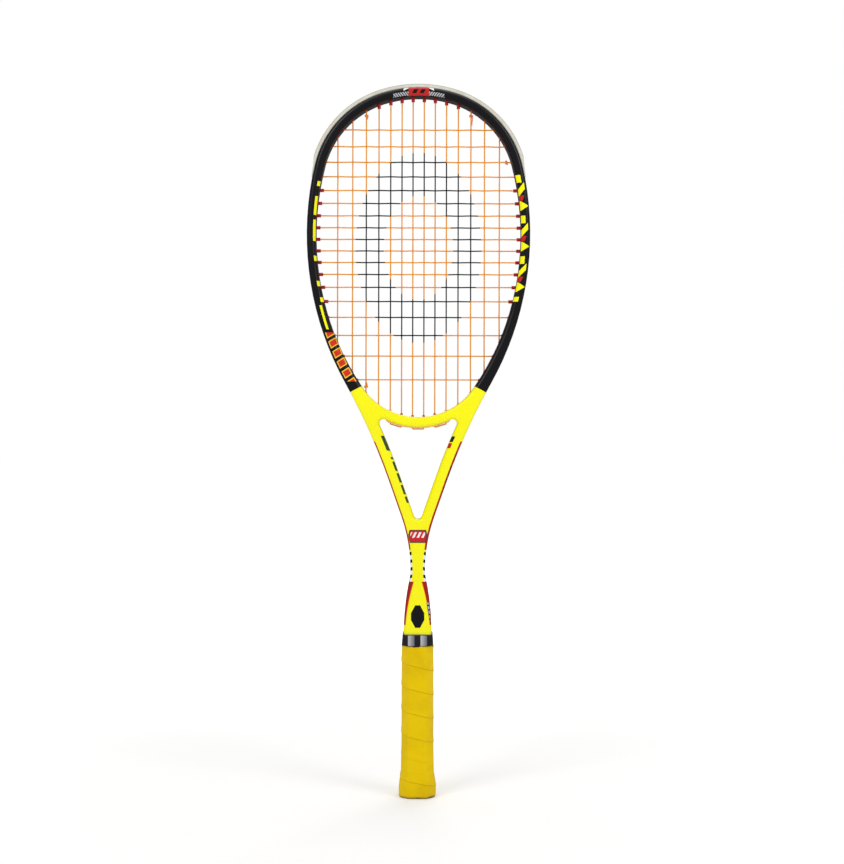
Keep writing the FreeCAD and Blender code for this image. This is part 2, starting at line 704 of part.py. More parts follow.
def strung(runs):
    """One string, swept through every run and every turn outside the hoop.

    Each run is (first hole, last hole, knots, axis): the knots lie between the
    two bends, as (position along the axis, height).
    """
    points, waves = [], {}
    for first, last, knots, axis in runs:
        points += [first["leave"], first["bend"]]
        waves[len(points) - 1] = (knots, axis)
        points += [last["bend"], last["leave"]]
    corners = [(points[0], None, points[0])]
    for k in range(1, len(points) - 1):
        corners.append(rounded_corner(*points[k - 1:k + 2]))
    corners.append((points[-1], None, points[-1]))
    edges = []
    for k in range(len(points) - 1):
        start, goal = corners[k][2], corners[k + 1][0]
        if corners[k][1]:
            edges.append(corners[k][1])
        if k not in waves:
            edges.append(Part.makeLine(at(*start), at(*goal)))
            continue
        knots, axis = waves[k]
        fixed = start[1 - axis]
        knots = [(start[axis], 0)] + knots + [(goal[axis], 0)]
        if axis == 1:
            edges += woven(knots, lambda p, y: Vector(fixed, y, p))
        else:
            edges += woven(knots, lambda p, y: Vector(p, y, fixed))
    path = Part.Wire(edges)
    way = between(points[0], points[1])[0]
    ring = Part.Wire(Part.makeCircle(string, at(*points[0]), at(*way)))
    return path.makePipeShell([ring], True, False)


def share(main_gap, cross_gap):
    """Heights of main and cross at a crossing.

    A string that is about to dive into its hole stays level, and the other
    one goes all the way round it.
    """
    near = 3.5
    if cross_gap < near:
        return 2 * rise, 0
    if main_gap < near:
        return 0, 2 * rise
    return rise, rise


def crossings():
    heights = {}
    for column in range(2 * MAINS):
        step = column - MAINS if column >= MAINS else MAINS - 1 - column
        hand = 1 if column >= MAINS else -1
        x = main_x(step)
        top, low = top_holes[step]["bend"][1], low_holes[step]["bend"][1]
        for row in range(CROSSES):
            z, reach = cross_z(row), side_holes[row]["bend"][0]
            if x > reach or not low < z < top:
                continue
            main_y, cross_y = share(min(top - z, z - low), reach - x)
            sign = 1 if (column + row) % 2 else -1
            heights[column, row] = (hand * x, z, sign * main_y, -sign * cross_y)
    return heights


heights = crossings()
main_runs, cross_runs = [], []
for column in range(2 * MAINS):
    right = column >= MAINS
    step = column - MAINS if right else MAINS - 1 - column
    top, low = top_holes[step], low_holes[step]
    if not right:
        top, low = flipped(top), flipped(low)
    over = sorted((z, y) for (c, r), (x, z, y, other) in heights.items() if c == column)
    if column % 2:
        main_runs.append((low, top, over, 1))
    else:
        main_runs.append((top, low, over[::-1], 1))
for row in range(CROSSES):
    ends = [flipped(side_holes[row]), side_holes[row]]
    over = sorted((x, y) for (c, r), (x, z, other, y) in heights.items() if r == row)
    if row % 2:
        cross_runs.append((ends[1], ends[0], over[::-1], 0))
    else:
        cross_runs.append((ends[0], ends[1], over, 0))
main_string = feature("main_string", strung(main_runs))
cross_string = feature("cross_string", strung(cross_runs))

KNOTS = [
    ("knot_top_right", main_x(4), top_holes[4]["bend"][1] - size("knot_back"), 0),
    ("knot_top_left", -main_x(4), top_holes[4]["bend"][1] - size("knot_back"), 0),
    ("knot_bottom_left", -main_x(4), low_holes[4]["bend"][1] + size("knot_back"), 0),
    ("knot_side_right", side_holes[2]["bend"][0] - size("knot_back"), cross_z(2), 90),
]
knots = []
for name, x, z, turn in KNOTS:
    knot = doc.addObject("Part::Torus", name)
    knot.setExpression("Radius1", "sizes.knot_ring")
    knot.setExpression("Radius2", "sizes.knot_cord")
    knot.Placement = FreeCAD.Placement(at(x, z), FreeCAD.Rotation(Vector(0, 1, 0), turn))
    knots.append(knot)

# ------------------------------------------------------------------ handle

def octagon(width, depth, z):
    """An eight-sided ring whose corners are cut back by the bevel ratio."""
    cut = size("bevel") * depth / 2
    x, y = width / 2, depth / 2
    points = [(x, y - cut), (x - cut, y), (cut - x, y), (-x, y - cut),
              (-x, cut - y), (cut - x, -y), (x - cut, -y), (x, cut - y)]
    ring = [Vector(px, py, z) for px, py in points]
    return Part.makePolygon(ring + ring[:1])


def stack(sections):
    return Part.makeLoft([octagon(*section) for section in sections], True, True)


butt_w, butt_d = size("butt_width"), size("butt_depth")
grip_w, grip_d = size("grip_width"), size("grip_depth")
pallet_w, pallet_d = size("pallet_width"), size("pallet_depth")
foot, tape_foot = size("frame_foot"), size("tape_foot")
GRIP_OUT = [
    (butt_w - 0.8, butt_d - 0.8, 3), (butt_w, butt_d, 7), (34.6, 31, 14.6),
    (32, 28.6, 22), (grip_w, grip_d, 30), (grip_w, grip_d, tape_foot - 1),
    (29.6, 26.4, tape_foot), (28.4, 25.2, foot),
]
CAP_OUT = [(33.6, 30, 0), (butt_w - 0.8, butt_d - 0.8, 1.6), (butt_w - 0.8, butt_d - 0.8, 3)]
CAP_INSIDE = [(32.2, 28.6, 3), (32.2, 28.6, 7), (30.8, 27.2, 14.6), (28.4, 25, size("cap_height"))]

pallet = feature("pallet_blank", stack([(pallet_w, pallet_d, size("pallet_foot")),
                                        (pallet_w, pallet_d, foot)]))
handle_pallet = operate("Cut", "pallet", pallet, shank)
cap_room = stack([(pallet_w, pallet_d, size("pallet_foot")), (pallet_w, pallet_d, foot)])
cap_solid = stack(CAP_OUT).fuse(stack(CAP_INSIDE)).cut(cap_room)

badge = doc.addObject("Part::Cylinder", "cap_badge")
badge.setExpression("Radius", "sizes.badge_width / 2")
badge.setExpression("Height", "sizes.badge_thick")
badge.Placement.Base = Vector(0, 0, 0.3)
cap_blank = feature("cap_blank", cap_solid.removeSplitter())
seat = doc.addObject("Part::Cylinder", "badge_seat")
seat.setExpression("Radius", "sizes.badge_width / 2")
seat.setExpression("Height", "sizes.badge_thick + 0.3")
cap = operate("Cut", "cap", cap_blank, seat)

inner_grip = stack([(32.2, 28.6, 3), (32.2, 28.6, 7), (30.8, 27.2, 14.6),
                    (28.4, 25, size("cap_height"))])
inner_grip = inner_grip.fuse(cap_room)
grip = feature("grip", stack(GRIP_OUT).cut(inner_grip))

tape_w, tape_t = size("tape_width"), size("tape_top_width")
tape_blank = feature("tape_blank", stack([(tape_w, grip_d - 0.1, tape_foot),
                                          (29.3, 26.2, foot),
                                          (tape_t, 25.2, size("tape_top"))]))
tape_inside = feature("tape_inside", Part.makeCompound([stack(GRIP_OUT), cap_room]))
tape_sleeve = operate("Cut", "tape_sleeve", tape_blank, tape_inside)
tape = operate("Cut", "tape", tape_sleeve, rounded)
doc.recompute()

# ------------------------------------------------------------------ export

NODES = {
    "frame_hairpin": hairpin, "throat_yoke": yoke, "handle_pallet": handle_pallet,
    "butt_cap": cap, "cap_badge": badge, "grip_wrap": grip, "finishing_tape": tape,
    "bumper_guard": guard, "main_string": main_string, "cross_string": cross_string,
}
for node in strips + knots:
    NODES[node.Name] = node
for name, node in NODES.items():
    node.Label = name

failed = [o.Name for o in doc.Objects if "Invalid" in o.State or "Error" in o.State]
for name, node in NODES.items():
    if node.Shape.isNull() or not node.Shape.isValid():
        failed.append(name)
if failed:
    raise RuntimeError("these objects did not build: %s" % ", ".join(failed))

os.makedirs("parts", exist_ok=True)
for name, node in NODES.items():
    node.Shape.exportStep("parts/%s.step" % name)
    print(name, round(node.Shape.Volume, 1), "mm3", len(node.Shape.Solids), "solid(s)")
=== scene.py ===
import bmesh
import bpy
import math
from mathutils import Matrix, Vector, noise


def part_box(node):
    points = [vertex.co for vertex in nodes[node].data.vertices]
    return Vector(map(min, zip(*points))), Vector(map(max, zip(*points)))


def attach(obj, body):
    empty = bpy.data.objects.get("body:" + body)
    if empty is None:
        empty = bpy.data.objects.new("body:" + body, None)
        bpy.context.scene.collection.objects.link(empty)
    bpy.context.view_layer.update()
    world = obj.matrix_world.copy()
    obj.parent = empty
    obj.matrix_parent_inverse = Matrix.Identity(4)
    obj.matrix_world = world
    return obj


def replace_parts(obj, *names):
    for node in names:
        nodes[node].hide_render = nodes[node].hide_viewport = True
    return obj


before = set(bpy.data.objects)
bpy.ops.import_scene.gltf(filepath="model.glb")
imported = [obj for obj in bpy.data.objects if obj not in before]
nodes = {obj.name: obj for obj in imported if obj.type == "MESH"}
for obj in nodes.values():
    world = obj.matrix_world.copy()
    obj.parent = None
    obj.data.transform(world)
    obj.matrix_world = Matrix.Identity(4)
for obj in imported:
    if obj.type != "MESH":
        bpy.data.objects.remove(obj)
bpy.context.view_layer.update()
MM = 0.001
scene = bpy.context.scene

# ---------------------------------------------------------------- materials
# Lengths inside a material are in millimetres, in the racket's own frame.


class Val:
    """A number in a material.  Arithmetic on it adds Math nodes."""

    def __init__(self, paint, socket):
        self.paint = paint
        self.socket = socket

    def math(self, operation, *others):
        """This value and others through one Math node."""
        node = self.paint.node("ShaderNodeMath", operation=operation)
        for slot, item in zip(node.inputs, (self,) + others):
            self.paint.feed(slot, item)
        return Val(self.paint, node.outputs[0])

    def __add__(self, other):
        return self.math("ADD", other)

    def __sub__(self, other):
        return self.math("SUBTRACT", other)

    def __rsub__(self, other):
        """other - this, as this * -1 + other."""
        return self.math("MULTIPLY_ADD", -1.0, other)

    def __mul__(self, other):
        return self.math("MULTIPLY", other)

    def __truediv__(self, other):
        return self.math("DIVIDE", other)

    __radd__ = __add__
    __rmul__ = __mul__

    def __abs__(self):
        return self.math("ABSOLUTE")

    def above(self, other):
        """1 where this is over other, else 0."""
        return self.math("GREATER_THAN", other)

    def below(self, other):
        """1 where this is under other, else 0."""
        return self.math("LESS_THAN", other)

    def within(self, low, high):
        """1 between low and high, else 0."""
        return self.above(low) * self.below(high)

    def most(self, other):
        """The greater of the two, which is either of two masks."""
        return self.math("MAXIMUM", other)

    def repeat(self, length):
        """What is left over after whole lengths."""
        return self.math("FLOORED_MODULO", length)

    def sine(self):
        return self.math("SINE")

    def choose(self, yes, no):
        """yes where this is 1, no where it is 0."""
        return self * yes + (1.0 - self) * no

    def ramp(self, low, high):
        """0 below low, 1 above high, smooth between."""
        node = self.paint.node("ShaderNodeMapRange", interpolation_type="SMOOTHSTEP")
        for slot, item in zip(node.inputs, (self, low, high)):
            self.paint.feed(slot, item)
        return Val(self.paint, node.outputs[0])


class Paint:
    """One procedural material."""

    def __init__(self, name, roughness):
        self.material = bpy.data.materials.new(name)
        self.material.use_nodes = True
        self.tree = self.material.node_tree
        self.shader = self.tree.nodes["Principled BSDF"]
        self.plain("Roughness", roughness)
        place = self.node("ShaderNodeTexCoord").outputs["Object"]
        scaled = self.node("ShaderNodeVectorMath", operation="SCALE")
        scaled.inputs["Scale"].default_value = 1 / MM
        self.feed(scaled.inputs[0], place)
        self.place = scaled.outputs[0]
        split = self.node("ShaderNodeSeparateXYZ")
        self.feed(split.inputs[0], self.place)
        self.x, self.y, self.z = (Val(self, out) for out in split.outputs)
        geometry = self.node("ShaderNodeNewGeometry")
        normal = self.node("ShaderNodeSeparateXYZ")
        self.feed(normal.inputs[0], geometry.outputs["Normal"])
        self.nx = Val(self, normal.outputs[0])
        self.ny = Val(self, normal.outputs[1])

    def plain(self, socket, value):
        """Sets one of the shader's own sockets to one value all over."""
        self.shader.inputs[socket].default_value = value

    def node(self, kind, **settings):
        """Adds a node with its settings."""
        node = self.tree.nodes.new(kind)
        for name, value in settings.items():
            setattr(node, name, value)
        return node

    def feed(self, slot, item):
        """Links a value or a socket to slot, or sets slot to a plain number."""
        if isinstance(item, Val):
            item = item.socket
        if isinstance(item, bpy.types.NodeSocket):
            self.tree.links.new(item, slot)
        else:
            slot.default_value = item

    def noise(self, size, detail=3.0, stretch=(1, 1, 1)):
        """Noise from 0 to 1 with features about size millimetres across."""
        mapping = self.node("ShaderNodeMapping")
        self.feed(mapping.inputs["Vector"], self.place)
        mapping.inputs["Scale"].default_value = [1 / (size * s) for s in stretch]
        texture = self.node("ShaderNodeTexNoise")
        self.feed(texture.inputs["Vector"], mapping.outputs[0])
        texture.inputs["Scale"].default_value = 1.0
        texture.inputs["Detail"].default_value = detail
        return Val(self, texture.outputs[0])

    def cells(self, size):
        """Distance to the nearest cell centre, in cell widths."""
        mapping = self.node("ShaderNodeMapping")
        self.feed(mapping.inputs["Vector"], self.place)
        mapping.inputs["Scale"].default_value = [1 / size] * 3
        texture = self.node("ShaderNodeTexVoronoi")
        self.feed(texture.inputs["Vector"], mapping.outputs[0])
        texture.inputs["Scale"].default_value = 1.0
        return Val(self, texture.outputs[0])

    def attribute(self, name):
        """A number stored on the mesh's vertices."""
        node = self.node("ShaderNodeAttribute", attribute_name=name)
        return Val(self, node.outputs["Fac"])

    def colour(self, rgb):
        """Lays the first colour on the shader."""
        self.coats = rgb
        slot = self.shader.inputs["Base Color"]
        if isinstance(rgb, tuple):
            slot.default_value = (*rgb, 1)
        else:
            self.feed(slot, rgb)

    def over(self, rgb, mask):
        """Lays another colour over what is there, where mask is 1."""
        mix = self.node("ShaderNodeMix", data_type="RGBA")
        below, above = mix.inputs[6], mix.inputs[7]
        for slot, item in ((below, self.coats), (above, rgb)):
            self.feed(slot, (*item, 1) if isinstance(item, tuple) else item)
        self.feed(mix.inputs[0], mask)
        self.colour(mix.outputs[2])

    def rough(self, value):
        """Roughness that varies over the surface."""
        self.feed(self.shader.inputs["Roughness"], value)

    def bump(self, height, distance, strength=1.0):
        """height runs from 0 to 1 and stands for distance millimetres."""
        node = self.node("ShaderNodeBump")
        node.inputs["Strength"].default_value = strength
        node.inputs["Distance"].default_value = distance * MM
        self.feed(node.inputs["Height"], height)
        self.feed(self.shader.inputs["Normal"], node.outputs[0])


def finish_with(paint, *names):
    """Gives CAD nodes their material."""
    for name in names:
        mesh = nodes[name].data
        mesh.materials.clear()
        mesh.materials.append(paint.material)


def length(a, b):
    """The length of the vector (a, b)."""
    return (a * a + b * b).math("SQRT")


# ------------------------------------------------------- where the paint goes
# The hoop's outer edge is three arcs, from the crown down: (radius, turn).
CROWN_TOP = 682.9
SHOULDER_LEVEL = 600.0
ARCS = [(119.0, 18.2), (95.0, 58.8), (295.0, 42.15)]


def hoop_arcs():
    """(centre x, centre z, radius, end x, end z) of each arc on the right."""
    x, z, heading = 0.0, CROWN_TOP, 0.0
    found = []
    for radius, turn in ARCS:
        cx = x - radius * math.sin(heading)
        cz = z - radius * math.cos(heading)
        heading += math.radians(turn)
        x = cx + radius * math.sin(heading)
        z = cz + radius * math.cos(heading)
        found.append((cx, cz, radius, x, z))
    return found


def edge_depth(paint):
    """How far a point lies inside the hoop's outer edge."""
    across = abs(paint.x)
    arcs = hoop_arcs()
    depths = [arc[2] - length(across - arc[0], paint.z - arc[1]) for arc in arcs]
    crown_end_x = arcs[0][3]
    shoulder_end_z = arcs[1][4]
    in_crown = across.below(crown_end_x) * paint.z.above(SHOULDER_LEVEL)
    in_shoulder = paint.z.above(shoulder_end_z)
    return in_crown.choose(depths[0], in_shoulder.choose(depths[1], depths[2]))


BLACK = (0.007, 0.007, 0.009)
YELLOW = (0.95, 0.91, 0.0)
DEEP_YELLOW = (0.90, 0.84, 0.0)
# Painted shade for the frame's yellow on its sides that turn away.
SIDE_SHADE_YELLOW = (0.74, 0.64, 0.0)
AMBER = (0.95, 0.55, 0.02)
ORANGE = (0.95, 0.20, 0.01)
SCARLET = (0.62, 0.03, 0.01)
RED = (0.50, 0.012, 0.012)
BADGE_RED = (0.60, 0.01, 0.02)
BADGE_EDGE = (0.03, 0.035, 0.05)
FLASH_RED = (0.36, 0.010, 0.008)
LEFT_RED = (0.42, 0.03, 0.0)
RIGHT_RED = (0.42, 0.01, 0.0)
DARK_RED = (0.16, 0.006, 0.008)
WHITE = (0.85, 0.85, 0.83)
SILVER = (0.45, 0.46, 0.48)
GREEN = (0.02, 0.07, 0.02)


def spans(value, *ranges):
    """1 where value lies in any of the ranges."""
    total = None
    for low, high in ranges:
        one = value.within(low, high)
        total = one if total is None else total.most(one)
    return total


class FramePaint(Paint):
    """Lacquer, with the values that place its decoration.

    hand is x as seen from the face that is looked at, front or back, and left
    and right go by it.  outward is 1 where the surface faces away from the
    racket's middle, and facing is 1 where it faces front or back.
    """

    def __init__(self):
        super().__init__("frame_lacquer", roughness=0.3)
        self.plain("Specular IOR Level", 0.33)
        self.hand = self.x * self.y.above(0.0).choose(-1.0, 1.0)
        self.left = self.hand.below(0.0)
        self.right = self.hand.above(0.0)
        self.across = abs(self.x)
        self.depth = edge_depth(self)
        self.outward = self.nx * self.x.above(0.0).choose(1.0, -1.0)
        self.facing = abs(self.ny)
        self.on_face = self.facing.above(0.16)


def base_coat(p):
    """Yellow, deeper where the colour pools, with painted shade on the sides that turn away
    from front and back.
    """
    p.colour(YELLOW)
    pooled = p.noise(60.0, 2.0).ramp(0.45, 0.75)
    p.over(DEEP_YELLOW, pooled * 0.5)
    # Painted shade: a darker yellow where the lacquer turns away from front and back, so
    # the edges look rounded.
    side_shade = (1.0 - p.facing).ramp(0.10, 0.80)
    p.over(SIDE_SHADE_YELLOW, side_shade * 0.55)


def black_hoop(p):
    """Black hoop, down to a slanted line across each side."""
    slope, foot, bridge_half = 0.527, 423.6, 40.0
    sides = (p.z + p.across * slope).above(foot) * p.across.above(bridge_half)
    upper = p.z.above(420.0)
    p.over(BLACK, sides.most(upper))


def right_face(p):
    """Blocks and triangles down the hoop's right face, red where they join."""
    top, foot, pitch = 598.0, 476.5, 39.0
    slant_lean, join_lean = 1.1, 0.4
    wedge_middle, wedge_slope = 29.5, 1.55
    step = (top - p.z).repeat(pitch)
    block = step.within(0.0, 7.2) * p.depth.above(4.6)
    slant = (step - p.depth * slant_lean).within(4.2, 10.6) * p.depth.above(2.4)
    point = (p.depth - abs(step - wedge_middle) * wedge_slope).above(0.9)
    wedge = step.within(25.0, 34.0) * point
    joins = step.within(19.5, 24.5) * (p.depth - step * join_lean).above(-4.0)
    zone = p.right * p.z.within(foot, top) * p.on_face
    p.over(RED, zone * joins)
    p.over(YELLOW, zone * block.most(slant).most(wedge))


def left_dashes(p):
    """Thin dashes round the left side's inner edge, and one long bar below."""
    dashes = spans(p.z, (587.2, 591.8), (559.5, 577.5), (534.5, 555.0),
                   (515.2, 520.3), (491.0, 496.0), (475.8, 480.2))
    thinner = p.z.within(534.5, 577.5) * p.depth.above(8.7)
    inner = p.depth.above(6.4) * (1.0 - thinner)
    p.over(YELLOW, p.left * dashes * p.on_face * inner)
    bar = p.z.within(449.5, 472.5) * p.depth.within(4.4, 6.6)
    p.over(YELLOW, p.left * bar * p.on_face)


def left_bars(p):
    """Slanted bars low on the left, red with a yellow edge."""
    top, foot, pitch, lean = 446.5, 399.5, 9.6, 0.55
    lane = (top - p.z + p.depth * lean).repeat(pitch)
    zone = p.left * p.z.within(foot, top) * p.on_face
    p.over(AMBER, zone * p.depth.within(2.2, 10.4) * lane.within(0.4, 7.2))
    p.over(SCARLET, zone * p.depth.within(3.1, 9.5) * lane.within(1.3, 6.3))


def crown_label(p):
    """Red patch with two dark bars, and pale hatching either side."""
    patch, hatch_pitch, hatch_line = 9.8, 2.3, 1.35
    crown = p.z.above(660.0)
    hatch = (p.across + p.depth * 0.8).repeat(hatch_pitch).below(hatch_line)
    hatched = p.across.within(patch, 24.5) * p.depth.within(4.6, 7.9)
    p.over(SILVER, crown * hatched * hatch)
    wing = (p.depth - p.across * 0.45).within(-5.6, -3.2)
    p.over(WHITE, crown * p.across.within(patch, 14.6) * wing)
    p.over(RED, crown * p.across.below(patch) * p.depth.within(0.4, 8.4))
    bars = abs(p.x + p.depth * 0.5 - 2.4).within(1.6, 5.6)
    p.over(BLACK, crown * bars * p.depth.within(2.4, 6.4))


def throat_marks(p):
    """Red lines down the arms' outer sides, dark marks on the inner ones."""
    bar_pitch, bar_height = 6.4, 3.6
    dash_pitch, dash_height = 11.2, 9.0
    arm = p.z.within(238.0, 342.0)
    p.over(LEFT_RED, arm * p.outward.above(0.62) * p.left)
    p.over(RIGHT_RED, arm * p.outward.above(0.50) * p.right)
    slanted = (p.z + p.y).repeat(bar_pitch).below(bar_height)
    bars = slanted * p.z.within(293.0, 331.0)
    p.over(DARK_RED, bars * p.outward.above(0.60) * p.right)
    beside_v = p.facing.above(0.22) * p.across.above(3.0)
    broad = p.outward.below(-0.25) * beside_v
    narrow = p.outward.below(-0.45) * beside_v
    dashes = p.z.within(283.0, 327.0) * p.z.repeat(dash_pitch).below(dash_height)
    p.over(GREEN, broad * p.left * p.z.within(333.0, 347.5))
    p.over(GREEN, narrow * p.left * dashes)
    p.over(BLACK, broad * p.right * p.z.within(341.5, 347.0))
    p.over(RED, broad * p.right * p.z.within(335.5, 340.5))


def fork_badge(p):
    """Red plate in the fork, with a dark edge and three pale bars."""
    middle, side_slope = 252.0, 0.22
    bar_lean, bar_pitch, bar_width = 0.5, 4.4, 2.2
    half_width = p.across + abs(p.z - middle) * side_slope
    plate = p.z.within(244.6, 257.2) * half_width.below(9.2) * p.facing.above(0.5)
    p.over(BADGE_EDGE, plate)
    p.over(BADGE_RED, plate * p.z.within(245.5, 256.4) * half_width.below(8.3))
    bars = (p.x - (p.z - middle) * bar_lean).repeat(bar_pitch).below(bar_width)
    p.over(WHITE, plate * p.z.within(249.6, 254.9) * half_width.below(7.2) * bars)


def waist_marks(p):
    """Pale and dark blocks on the waist's sides, then a red flash below them."""
    block_pitch, block_height, block_lean = 7.4, 3.2, 0.4
    flash_foot, flash_slope, flash_curve = 167.0, 0.08, 0.00275
    waist = p.z.within(207.0, 236.0) * p.outward.above(0.52)
    p.over(WHITE, waist)
    step = (p.z - abs(p.y) * block_lean).repeat(block_pitch)
    p.over(BLACK, waist * step.below(block_height))
    flash = p.z.within(166.0, 207.5)
    climb = p.z - flash_foot
    past_edge = p.across + climb * flash_slope + climb * climb * flash_curve
    p.over(ORANGE, flash * past_edge.above(11.3))
    p.over(FLASH_RED, flash * past_edge.above(11.9))


def emblem(p):
    """A plain tall hexagon on the taper, and a row of pale blocks beside it."""
    middle, half_height, half_width = 174.2, 10.8, 6.4
    tag_lean, tag_pitch = 0.16, 4.4
    front = p.facing.above(0.6)
    rise = abs(p.z - middle)
    corners = (p.across * 1.15 + rise * 0.62).below(9.4)
    hexagon = corners * rise.below(half_height) * p.across.below(half_width)
    p.over(BLACK, front * hexagon)
    beside = p.hand + p.z * tag_lean
    tag = front * p.z.within(169.5, 187.5)
    blocks = p.z.repeat(tag_pitch).within(0.7, 3.7)
    p.over(BLACK, tag * beside.within(38.4, 42.0))
    p.over(SILVER, tag * blocks * beside.within(38.9, 41.5))


def frame_paint():
    """The frame's lacquer with all its decoration, the lowest coat first."""
    p = FramePaint()
    base_coat(p)
    black_hoop(p)
    right_face(p)
    left_dashes(p)
    left_bars(p)
    crown_label(p)
    throat_marks(p)
    fork_badge(p)
    waist_marks(p)
    emblem(p)
    orange_peel = p.noise(1.6, 2.0)
    p.rough(0.24 + p.noise(9.0, 4.0) * 0.12)
    p.bump(orange_peel, 0.02, 0.35)
    return p


def string_paint():
    """Orange nylon, with a black ink ring stencilled on the bed."""
    p = Paint("string_nylon", roughness=0.35)
    p.plain("Specular IOR Level", 0.18)
    p.colour((0.76, 0.28, 0.006))
    p.over((0.84, 0.36, 0.012), p.noise(14.0, 2.0).ramp(0.4, 0.7) * 0.6)
    ring_middle, ring_half_width, ring_half_height = 529.0, 61.0, 92.0
    out = length(p.x / ring_half_width, (p.z - ring_middle) / ring_half_height)
    speckled = p.noise(0.9, 2.0).above(0.16)
    p.over((0.002, 0.002, 0.003), out.within(0.55, 1.0) * speckled)
    twist = (p.z * 5.2 + p.x * 5.2 + p.y * 7.0).sine()
    p.bump(twist, 0.02, 0.3)
    return p


def grommet_paint():
    """Deep red nylon."""
    p = Paint("grommet_nylon", roughness=0.32)
    p.colour((0.40, 0.006, 0.012))
    p.over((0.50, 0.010, 0.018), p.noise(4.0, 2.0).ramp(0.4, 0.7))
    p.bump(p.noise(0.8, 3.0), 0.03, 0.5)
    return p


BRIDGE_RADIUS = 64.77
BRIDGE_CENTRE = 430.4


def throat_strip_paint():
    """Pale nylon below the bridge, with red barrels above it."""
    p = Paint("throat_strip_nylon", roughness=0.4)
    p.colour((0.90, 0.50, 0.30))
    p.over((0.95, 0.62, 0.42), p.noise(8.0, 2.0).ramp(0.4, 0.7))
    from_centre = length(p.x, p.z - BRIDGE_CENTRE)
    above_bridge = from_centre.below(BRIDGE_RADIUS - 0.2)
    p.over((0.50, 0.008, 0.016), above_bridge * abs(p.x).below(22.0))
    p.plain("Subsurface Weight", 0.4)
    p.plain("Subsurface Scale", 0.001)
    return p


def guard_paint():
    """Milky nylon, with painted shade at its outer edge and where it meets the hoop."""
    p = Paint("guard_nylon", roughness=0.42)
    p.colour((0.62, 0.60, 0.50))
    p.over((0.70, 0.68, 0.60), p.noise(12.0, 3.0).ramp(0.35, 0.7))
    depth = edge_depth(p)
    # Painted shade: darker over the guard's rounded outer edge, and in its join with the
    # hoop.
    rim = 1.0 - depth.ramp(-2.9, -1.7)
    p.over((0.36, 0.35, 0.28), rim * 0.55)
    p.over((0.30, 0.28, 0.23), depth.ramp(-0.7, 0.3) * 0.6)
    p.plain("Subsurface Weight", 0.08)
    p.plain("Subsurface Scale", 0.0015)
    p.bump(p.noise(1.5, 3.0), 0.04, 0.5)
    return p


def cap_paint():
    """Dark nylon of the butt cap."""
    p = Paint("cap_nylon", roughness=0.5)
    p.colour((0.16, 0.10, 0.01))
    p.over((0.24, 0.15, 0.02), p.noise(3.0, 3.0).ramp(0.3, 0.7))
    p.bump(p.noise(0.7, 3.0), 0.05, 0.6)
    return p


def badge_paint():
    """Turned rings on the disc let into the butt."""
    p = Paint("badge_nylon", roughness=0.4)
    out = length(p.x, p.y)
    p.colour((0.34, 0.24, 0.01))
    p.over((0.10, 0.07, 0.01), out.repeat(2.4).below(0.5))
    p.over((0.44, 0.32, 0.02), p.noise(2.0, 3.0).ramp(0.45, 0.75) * 0.5)
    p.bump((out * 2.6).sine(), 0.08, 0.8)
    return p


def foam_paint():
    """Rigid foam, with its cells."""
    p = Paint("pallet_foam", roughness=0.8)
    p.colour((0.70, 0.64, 0.46))
    p.bump(p.cells(0.8), 0.1, 0.7)
    return p


def grip_paint():
    """Smooth tacky tape: painted shade in the seams and along its foot, a little shine
    where it stretches.
    """
    p = Paint("grip_tape", roughness=0.42)
    p.plain("Specular IOR Level", 0.32)
    p.plain("Specular Tint", (1.0, 0.80, 0.25, 1))
    p.colour((0.84, 0.58, 0.0))
    p.over((0.68, 0.44, 0.0), p.noise(26.0, 3.0).ramp(0.40, 0.72) * 0.6)
    p.over((0.86, 0.62, 0.01), p.noise(5.0, 4.0).ramp(0.55, 0.80) * 0.35)
    # Painted shade: a dark brown along the seams, where each turn's edge overlaps the turn
    # below.
    p.over((0.34, 0.20, 0.0), p.attribute("seam_shade").ramp(0.0, 1.0) * 0.75)
    # Painted shade: darker over the grip's lowest few millimetres, where it meets the cap
    # and the floor.
    foot_shade = 1.0 - p.z.ramp(0.8, 3.2)
    p.over((0.40, 0.24, 0.0), foot_shade * 0.8)
    p.rough(0.36 + p.noise(7.0, 4.0) * 0.20)
    grain = p.noise(0.55, 3.0) + p.noise(2.6, 2.0, (1.0, 1.0, 2.4)) * 0.8
    p.bump(grain, 0.08, 0.6)
    return p


def tape_paint():
    """Black finishing tape with plain silver blocks that fade across."""
    p = Paint("collar_tape", roughness=0.34)
    p.colour((0.012, 0.012, 0.015))
    pitch, block_width = 12.0, 6.2
    hand = p.x * p.y.above(0.0).choose(-1.0, 1.0)
    step = (hand + 9.2).repeat(pitch)
    block = step.below(block_width) * p.z.within(146.2, 156.2)
    p.over((0.16, 0.165, 0.18), block)
    p.over((0.46, 0.47, 0.50), block * (1.0 - step.ramp(0.0, block_width)))
    p.over((0.30, 0.30, 0.32), p.z.above(156.6) * 0.5)
    p.rough(0.28 + p.noise(4.0, 4.0) * 0.18)
    p.bump(p.noise(1.8, 3.0, (1.0, 1.0, 4.0)), 0.03, 0.6)
    return p


def knot_paint():
    """Orange nylon, brighter than the strings."""
    p = Paint("knot_nylon", roughness=0.35)
    p.colour((0.92, 0.22, 0.02))
    p.over((0.95, 0.34, 0.05), p.noise(1.2, 2.0).ramp(0.4, 0.7))
    p.bump(p.noise(0.4, 2.0), 0.02, 0.4)
    return p


finish_with(frame_paint(), "frame_hairpin", "throat_yoke")
finish_with(string_paint(), "main_string", "cross_string")
strips = [name for name in nodes if name.startswith("grommet_strip")]
finish_with(grommet_paint(), *strips)
finish_with(throat_strip_paint(), "grommet_strip_throat")
finish_with(guard_paint(), "bumper_guard")
finish_with(badge_paint(), "cap_badge")
finish_with(foam_paint(), "handle_pallet")

